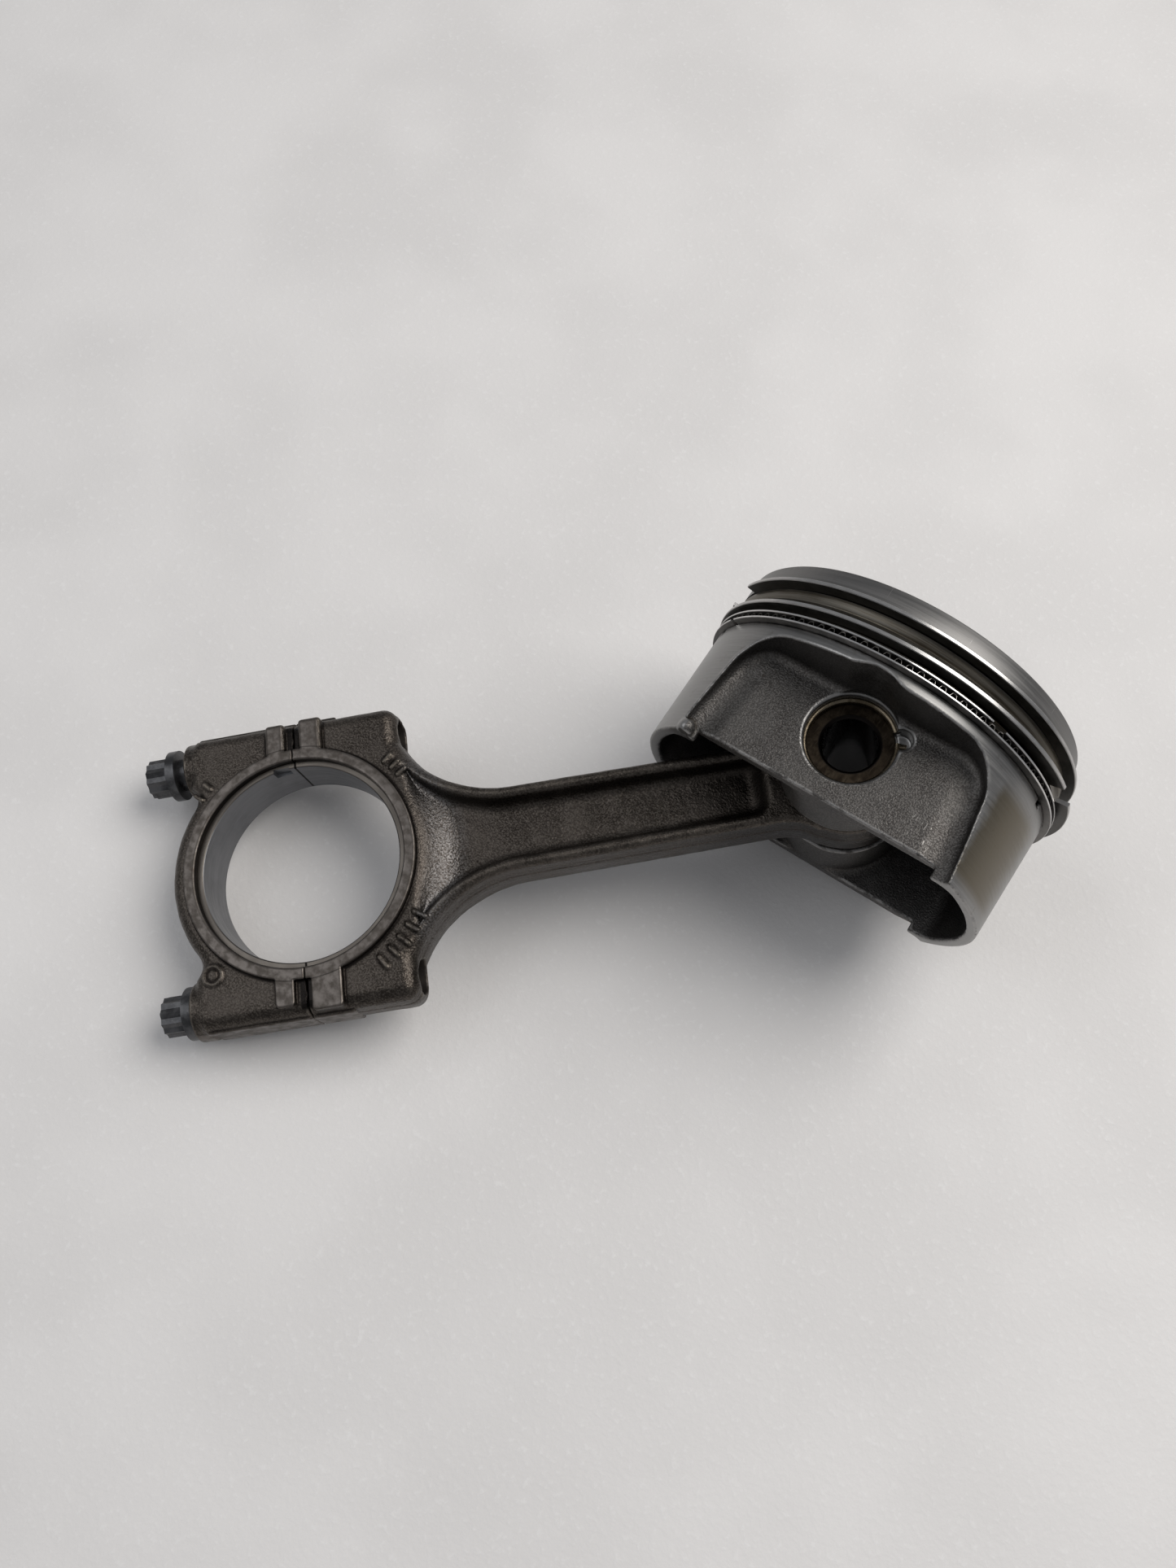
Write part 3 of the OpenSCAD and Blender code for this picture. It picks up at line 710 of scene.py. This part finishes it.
def piston_alloy():
    """Cast panels and turned skirts of the piston's body."""
    s = Shader("piston_alloy_body")
    machined, edge = s.stored("machined"), s.stored("edge")
    x, y, z = s.axes()
    grain = s.noise(0.38, 2.0, 0.55)
    cloud = s.noise(12.0, 4.0, 0.6)
    fine_cloud = s.noise(2.6, 3.0, 0.6)
    cast = s.mix(s.span(cloud, 0.35, 0.65), (0.048, 0.044, 0.041), (0.072, 0.068, 0.064))
    cast = s.mix(s.span(grain, 0.36, 0.68, 0, 0.5), cast, (0.185, 0.176, 0.168))
    # Dirt and painted shade: darker in concave corners, where the edge measure falls below 0.
    cast = s.mix(s.math("MULTIPLY", s.span(edge, -0.03, -0.14), 0.8), cast, (0.025, 0.020, 0.015))
    from_pin = s.math("SQRT", s.math("ADD", s.math("MULTIPLY", x, x), s.math("MULTIPLY", y, y)))
    # Oil stain and painted shade: the inside of the piston is darkened, away from the pin bosses.
    oily = s.math("MULTIPLY", s.span(s.math("ABSOLUTE", z), 0.0245, 0.0232),
                  s.span(from_pin, 0.0155, 0.018, 0, 0.4))
    cast = s.mix(oily, cast, (0.030, 0.029, 0.029))
    specks = s.span(s.cells(6.5), 0.07, 0.045)
    cast = s.mix(s.math("MULTIPLY", specks, 0.8), cast, (0.03, 0.025, 0.02))
    rubs = s.noise(0.5, 3.0, 0.7, s.node("ShaderNodeMapping", {
        "Vector": s.place, "Rotation": (0.0, 0.0, 0.5), "Scale": (1.0, 0.22, 1.0)}).outputs[0])
    patches = s.span(s.noise(7.0, 2.0, 0.5), 0.50, 0.60)
    scuffs = s.math("MULTIPLY", s.span(rubs, 0.60, 0.68, 0, 0.75), patches)
    corner = s.math("MULTIPLY", s.span(x, 0.006, 0.012), s.span(y, -0.004, -0.008))
    scuffs = s.math("MULTIPLY", scuffs, corner)
    cast = s.mix(s.math("MULTIPLY", scuffs, s.span(z, 0.0262, 0.0268)), cast, (0.42, 0.40, 0.38))
    streaks = s.noise(0.5, 3.0, 0.7, s.stretched((0.03, 1.0, 0.03)))
    turned = s.mix(s.span(streaks, 0.3, 0.7), (0.20, 0.197, 0.192), (0.27, 0.266, 0.26))
    turned = s.mix(s.span(fine_cloud, 0.62, 0.72, 0, 0.35), turned, (0.14, 0.128, 0.11))
    colour = s.mix(machined, cast, turned)
    worn = s.math("MULTIPLY", s.span(edge, 0.07, 0.17), s.span(fine_cloud, 0.38, 0.55))
    colour = s.mix(s.math("MULTIPLY", worn, 0.5), colour, (0.36, 0.35, 0.34))
    varnish = s.math("MULTIPLY", skirt_varnish(s, x, y, z), machined)
    colour = s.mix(s.math("MULTIPLY", varnish, 0.75), colour, (0.11, 0.088, 0.05))
    rough = s.blend(machined, s.span(cloud, 0.3, 0.7, 0.40, 0.50), s.span(streaks, 0.3, 0.7, 0.30, 0.42))
    rings = s.noise(0.16, 1.0, 0.4, s.stretched((0.004, 1.0, 0.004)))
    normal = s.bump(s.math("MULTIPLY", grain, s.blend(machined, 1.0, 0.03)), 0.12)
    normal = s.bump(s.math("MULTIPLY", rings, machined), 0.006, normal)
    return s.finish(colour, rough, 0.92, normal)


def skirt_varnish(s, x, y, z):
    """Mask of the baked oil patch on the +X skirt, strongest beside the side recess."""
    angle = s.math("ARCTAN2", z, x)
    lean = s.math("ADD", angle, s.math("MULTIPLY", s.noise(7.0, 3.0, 0.6), 0.12))
    start = s.span(lean, math.radians(8), math.radians(26))
    stop = s.span(lean, math.radians(47), math.radians(43))
    low = s.span(y, -0.0165, -0.0135)
    high = s.span(y, 0.0085, 0.0045)
    front = s.span(x, 0.0, 0.01)
    mask = s.math("MULTIPLY", s.math("MULTIPLY", start, stop), s.math("MULTIPLY", low, high))
    return s.math("MULTIPLY", mask, front)


def head_alloy():
    """Scratched turned lands with carbon between the rings, and a sooty crown."""
    s = Shader("piston_alloy_head")
    x, y, z = s.axes()
    radius = s.math("SQRT", s.math("ADD", s.math("MULTIPLY", x, x), s.math("MULTIPLY", z, z)))
    streaks = s.noise(0.7, 3.0, 0.7, s.stretched((0.03, 1.0, 0.03)))
    rings = s.noise(0.18, 1.0, 0.4, s.stretched((0.004, 1.0, 0.004)))
    cloud = s.noise(8.0, 4.0, 0.6)
    bare = s.mix(s.span(streaks, 0.3, 0.7), (0.15, 0.147, 0.143), (0.205, 0.20, 0.195))
    scratch = s.noise(0.35, 2.0, 0.6, s.node("ShaderNodeMapping", {
        "Vector": s.place, "Rotation": (0.5, 0.35, 0.7), "Scale": (1.0, 0.05, 0.3)}).outputs[0])
    bare = s.mix(s.span(scratch, 0.70, 0.76, 0, 0.4), bare, (0.40, 0.39, 0.38))
    carbon = s.mix(s.span(cloud, 0.35, 0.65), (0.075, 0.062, 0.045), (0.12, 0.104, 0.078))
    lands = s.span(y, 0.0218, 0.0210)
    below = s.mix(s.span(streaks, 0.35, 0.62), carbon, (0.16, 0.147, 0.125))
    side = s.mix(lands, bare, below)
    # Carbon and painted shade: the ring grooves are darkened inside the lands' radius.
    inside_groove = s.span(radius, 0.0421, 0.0414)
    side = s.mix(inside_groove, side, (0.028, 0.024, 0.02))
    soot = s.mix(s.span(cloud, 0.4, 0.6), (0.025, 0.021, 0.018), (0.075, 0.062, 0.05))
    crown = s.span(y, 0.0266, 0.0268)
    top = s.math("MULTIPLY", crown, s.span(radius, 0.0425, 0.0419))
    colour = s.mix(top, side, soot)
    rough = s.blend(top, s.span(streaks, 0.3, 0.7, 0.37, 0.48), 0.62)
    normal = s.bump(rings, 0.006)
    normal = s.bump(s.math("MULTIPLY", s.noise(0.6, 4.0, 0.7), top), 0.12, normal)
    return s.finish(colour, rough, s.blend(top, 0.92, 0.35), normal)


def ring_metal(name, face, side, face_rough=0.2):
    """Ring steel: a rubbed running face, and stained sides."""
    s = Shader(name)
    geometry = s.node("ShaderNodeNewGeometry").outputs["Normal"]
    up = s.math("ABSOLUTE", s.node("ShaderNodeSeparateXYZ", {"Vector": s.node(
        "ShaderNodeVectorTransform", {"Vector": geometry}, vector_type="NORMAL",
        convert_from="WORLD", convert_to="OBJECT").outputs[0]}).outputs["Y"])
    stain = s.noise(4.0, 4.0, 0.65)
    streaks = s.noise(0.5, 2.0, 0.6, s.stretched((0.2, 1.0, 0.2)))
    dull = s.mix(s.span(stain, 0.35, 0.65), side, tuple(c * 1.9 for c in side))
    bright = s.mix(s.span(streaks, 0.3, 0.7), tuple(c * 0.8 for c in face), face)
    flat = s.span(up, 0.55, 0.85)
    colour = s.mix(flat, bright, dull)
    rough = s.blend(flat, face_rough, s.span(stain, 0.3, 0.7, 0.34, 0.5))
    normal = s.bump(streaks, 0.003)
    return s.finish(colour, rough, 0.95, normal)


def pin_steel():
    """Ground wrist pin: oil varnish on its ends, and painted shade that makes its bore near black."""
    s = Shader("wrist_pin_steel")
    x, y, z = s.axes()
    radius = s.math("SQRT", s.math("ADD", s.math("MULTIPLY", x, x), s.math("MULTIPLY", y, y)))
    cloud = s.noise(2.5, 4.0, 0.65)
    ends = s.span(s.math("ABSOLUTE", z), 0.0224, 0.0229)
    ground = s.mix(s.span(cloud, 0.3, 0.7), (0.50, 0.49, 0.47), (0.58, 0.57, 0.55))
    brown = s.mix(s.span(cloud, 0.36, 0.64), (0.020, 0.014, 0.009), (0.040, 0.030, 0.020))
    rub = s.noise(0.5, 2.0, 0.6, s.stretched((1.0, 0.15, 1.0)))
    brown = s.mix(s.span(rub, 0.56, 0.70, 0, 0.4), brown, (0.09, 0.072, 0.05))
    colour = s.mix(ends, ground, brown)
    # Painted shade: the bore inside the pin is darkened to near black.
    colour = s.mix(s.span(radius, 0.0071, 0.0067), colour, (0.010, 0.008, 0.007))
    rough = s.blend(ends, 0.14, s.span(cloud, 0.3, 0.7, 0.30, 0.44))
    normal = s.bump(s.noise(0.3, 2.0, 0.5), 0.006)
    return s.finish(colour, rough, 0.9, normal)


def spring_wire():
    s = Shader("spring_wire")
    drawn = s.noise(0.4, 2.0, 0.6)
    oil = s.noise(3.0, 3.0, 0.6)
    colour = s.mix(s.span(oil, 0.38, 0.62), (0.15, 0.125, 0.09), (0.07, 0.055, 0.036))
    return s.finish(colour, s.span(drawn, 0.3, 0.7, 0.22, 0.34), 0.95, s.bump(drawn, 0.004))


def bush_bronze():
    s = Shader("bush_bronze")
    cloud = s.noise(3.0, 4.0, 0.6)
    colour = s.mix(s.span(cloud, 0.35, 0.65), (0.34, 0.22, 0.10), (0.24, 0.15, 0.07))
    return s.finish(colour, s.span(cloud, 0.3, 0.7, 0.28, 0.42), 0.9, s.bump(s.noise(0.3), 0.006))


def bearing_metal():
    """Matte running layer, faintly polished where the crank pin rubbed, with the shells' dark joint."""
    s = Shader("bearing_metal")
    along, _ = s.from_crank_pin()
    rub = s.noise(3.0, 3.0, 0.6, s.stretched((0.3, 0.3, 3.0)))
    cloud = s.noise(14.0, 4.0, 0.6)
    colour = s.mix(s.span(cloud, 0.35, 0.65), (0.15, 0.153, 0.162), (0.20, 0.203, 0.213))
    colour = s.mix(s.span(rub, 0.58, 0.75, 0, 0.5), colour, (0.28, 0.285, 0.30))
    rim = s.span(s.math("ABSOLUTE", s.axes()["Z"]), 0.0066, 0.0068)
    colour = s.mix(rim, colour, (0.13, 0.115, 0.10))
    colour = s.mix(s.span(s.math("ABSOLUTE", along), 0.00032, 0.00022), colour, (0.012, 0.010, 0.009))
    rough = s.span(rub, 0.3, 0.7, 0.30, 0.46)
    return s.finish(colour, rough, 0.88, s.bump(s.noise(0.25, 2.0), 0.005))


def black_oxide():
    s = Shader("black_oxide")
    grain = s.noise(0.5, 3.0, 0.6)
    dust = s.noise(3.5, 4.0, 0.65)
    colour = s.mix(s.span(dust, 0.35, 0.65), (0.045, 0.045, 0.047), (0.100, 0.100, 0.103))
    colour = s.mix(s.span(grain, 0.60, 0.74, 0, 0.35), colour, (0.16, 0.16, 0.165))
    return s.finish(colour, s.span(dust, 0.3, 0.7, 0.28, 0.42), 0.75, s.bump(grain, 0.02))


def floor_sheet():
    """Plain pale sheet with a faint, soft texture."""
    s = Shader("pale_sheet")
    cloud = s.noise(60.0, 3.0, 0.5)
    grain = s.noise(1.6, 2.0, 0.6)
    colour = s.mix(s.span(cloud, 0.3, 0.7), (0.71, 0.693, 0.682), (0.77, 0.752, 0.74))
    colour = s.mix(s.span(grain, 0.55, 0.75, 0, 0.35), colour, (0.84, 0.83, 0.82))
    return s.finish(colour, 0.6, 0.0, s.bump(grain, 0.12))


# ---------------------------------------------------------------- putting the pieces together

def dress(node, material, bevel=0.0):
    """Gives a CAD node its material, and a fine worn edge if it has room for one."""
    piece = frame["nodes"][node]
    piece.data.materials.clear()
    piece.data.materials.append(material)
    if bevel:
        modifier = piece.modifiers.new("worn_edges", "BEVEL")
        modifier.width = bevel * MM
        modifier.segments = 2
        modifier.limit_method = "ANGLE"
        modifier.angle_limit = math.radians(35)
        modifier.use_clamp_overlap = True
        modifier.harden_normals = False


def stand_for(piece, node, body, material):
    """Shows piece instead of a CAD node."""
    piece.data.materials.clear()
    piece.data.materials.append(material)
    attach(piece, body)
    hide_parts(node)


def build_pieces():
    steel = forged_steel()
    rod_grid = Lattice((-1.5, -39, -10), (147, 39, 10))
    rod = mesh_from_field("rod_forging", rod_grid, rod_field(rod_grid), rod_machined,
                          from_rod_frame, 0.07)
    stand_for(rod, "connecting_rod", "rod", steel)
    cap_grid = Lattice((-34.5, -39, -10), (1.5, 39, 10))
    cap = mesh_from_field("cap_forging", cap_grid, cap_field(cap_grid), cap_machined,
                          from_rod_frame, 0.07)
    stand_for(cap, "rod_cap", "rod", steel)
    body_grid = Lattice((-44, -19, -44), (44, 14, 44))
    body = mesh_from_field("piston_body", body_grid, piston_field(body_grid), piston_machined,
                           in_place, 0.05)
    stand_for(body, "piston", "piston", piston_alloy())
    stand_for(piston_head(), "piston", "piston", head_alloy())
    strip = expander()
    stand_for(strip, "oil_ring_expander", "expander",
              ring_metal("expander_steel", (0.34, 0.32, 0.30), (0.05, 0.045, 0.04), 0.3))


def dress_nodes():
    iron = ring_metal("ring_iron", (0.48, 0.47, 0.46), (0.045, 0.043, 0.040), 0.26)
    rail = ring_metal("rail_steel", (0.75, 0.74, 0.73), (0.10, 0.095, 0.09), 0.16)
    bolts, wire, shells = black_oxide(), spring_wire(), bearing_metal()
    for node in ("top_compression_ring", "second_compression_ring"):
        dress(node, iron, 0.05)
    for node in ("oil_ring_upper_rail", "oil_ring_lower_rail"):
        dress(node, rail)
    for node in ("rod_bolt_backed_out", "rod_bolt_seated"):
        dress(node, bolts, 0.25)
    for node in ("circlip_front", "circlip_rear"):
        dress(node, wire, 0.1)
    for node in ("upper_bearing_shell", "lower_bearing_shell"):
        dress(node, shells)
    dress("wrist_pin", pin_steel(), 0.15)
    dress("small_end_bush", bush_bronze(), 0.2)


# ---------------------------------------------------------------- floor, light and camera

FLOOR_NORMAL = Vector((0.120, 0.143, 0.983)).normalized()
LIGHT_TOWARDS = Vector((0.40, 0.56, 0.72)).normalized()


def make_floor():
    """Pale sheet that the ring belt and the big end rest on, tilted as the assembly lies."""
    lowest = 1e9
    for node in frame["nodes"].values():
        for vertex in node.data.vertices:
            lowest = min(lowest, FLOOR_NORMAL.dot(vertex.co))
    size = 4.0
    built = bmesh.new()
    bmesh.ops.create_grid(built, x_segments=8, y_segments=8, size=size)
    turn = FLOOR_NORMAL.to_track_quat("Z", "Y").to_matrix().to_4x4()
    bmesh.ops.transform(built, matrix=Matrix.Translation(FLOOR_NORMAL * lowest) @ turn,
                        verts=built.verts)
    mesh = bpy.data.meshes.new("floor")
    built.to_mesh(mesh)
    built.free()
    mesh.materials.append(floor_sheet())
    floor = bpy.data.objects.new("floor", mesh)
    bpy.context.scene.collection.objects.link(floor)


def area_light(name, towards, distance, size, power, colour):
    light = bpy.data.lights.new(name, "AREA")
    light.shape = "DISK"
    light.size = size
    light.energy = power
    light.color = colour
    holder = bpy.data.objects.new(name, light)
    towards = Vector(towards).normalized()
    holder.location = Vector((-0.02, -0.03, 0)) + towards * distance
    holder.rotation_euler = towards.to_track_quat("Z", "Y").to_euler()
    bpy.context.scene.collection.objects.link(holder)


def make_light():
    world = bpy.data.worlds.new("studio")
    bpy.context.scene.world = world
    world.use_nodes = True
    background = world.node_tree.nodes["Background"]
    background.inputs["Color"].default_value = (0.80, 0.82, 0.86, 1.0)
    background.inputs["Strength"].default_value = 0.34
    area_light("key", LIGHT_TOWARDS, 1.2, 1.0, 10.5, (1.0, 0.975, 0.94))
    area_light("fill", (-0.5, -0.2, 0.8), 1.6, 1.2, 5.0, (0.95, 0.97, 1.0))


def make_camera():
    """The viewing position, a little below and to the right of the piston, looking down."""
    lens = bpy.data.cameras.new("camera")
    lens.sensor_width = 36.0
    lens.lens = 29.401
    lens.clip_start = 0.01
    camera = bpy.data.objects.new("camera", lens)
    right = Vector((0.81667, 0.56035, -0.13806))
    up = Vector((-0.49677, 0.80432, 0.32603))
    back = right.cross(up)
    turn = Matrix((right, up, back)).transposed().to_4x4()
    camera.matrix_world = Matrix.Translation(Vector((39.23, -93.18, 286.36)) * MM) @ turn
    bpy.context.scene.collection.objects.link(camera)
    bpy.context.scene.camera = camera


build_pieces()
dress_nodes()
make_floor()
make_light()
make_camera()
bpy.context.scene.view_settings.view_transform = "Standard"
bpy.context.view_layer.update()
